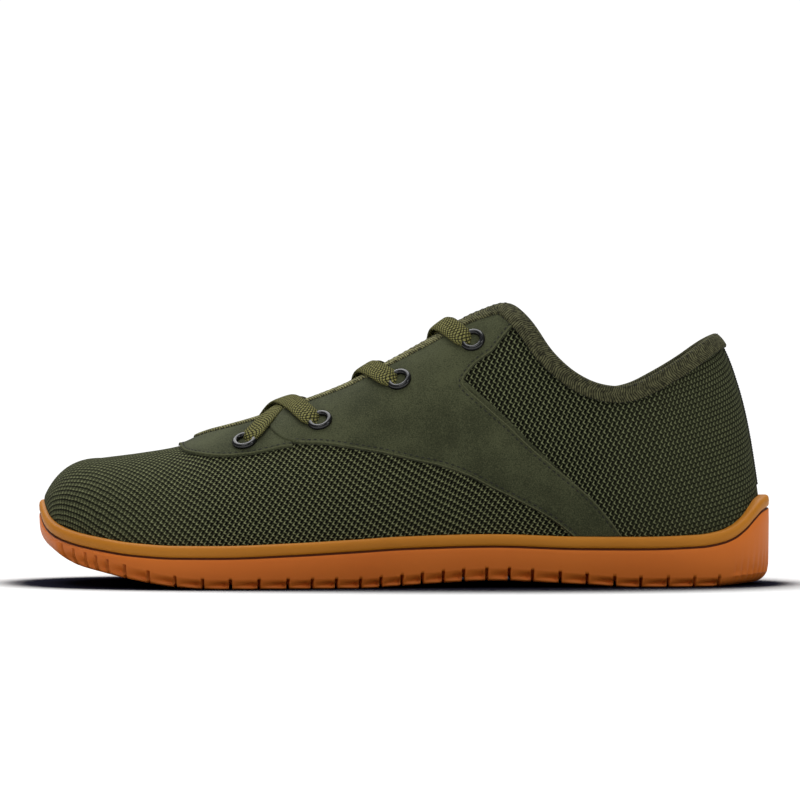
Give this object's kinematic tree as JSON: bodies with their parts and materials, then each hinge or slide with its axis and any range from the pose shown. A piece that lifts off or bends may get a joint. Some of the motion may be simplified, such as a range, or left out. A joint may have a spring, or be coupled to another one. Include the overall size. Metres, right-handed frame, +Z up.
{
  "type": "barefoot shoe",
  "caption": "Low lace-up barefoot shoe for the left foot: knitted upper with smooth side panels, bound collar, wide toe box and a thin one-piece rubber cup sole.",
  "frame": {"origin": "on the floor under the middle of the shoe's box, in metres", "axes": "+X from toe to heel, +Y towards the inner side of the foot, +Z up"},
  "size_m": [0.281, 0.1052, 0.1081],
  "materials": {
    "gum_rubber": "smooth gum rubber, soft sheen",
    "knit": "open warp knit, matte",
    "suede": "brushed microfibre, matte",
    "tape": "stretch binding tape with zigzag stitching",
    "lining": "woven lining, matte",
    "eyelet_metal": "black, polished",
    "lace": "flat woven lace"
  },
  "bodies": {
    "root": {"outsole": "gum_rubber", "upper": "knit", "insole": "lining", "tongue": "knit", "toe_eyestay": "suede", "side_panel_outer": "suede", "side_panel_inner": "suede", "collar_binding": "tape", "eyelet_outer_1": "eyelet_metal", "eyelet_inner_1": "eyelet_metal", "eyelet_outer_2": "eyelet_metal", "eyelet_inner_2": "eyelet_metal", "eyelet_outer_3": "eyelet_metal", "eyelet_inner_3": "eyelet_metal", "eyelet_outer_4": "eyelet_metal", "eyelet_inner_4": "eyelet_metal", "lace_crossing_1": "lace", "lace_crossing_2": "lace", "lace_crossing_3": "lace"}
  },
  "joints": []
}
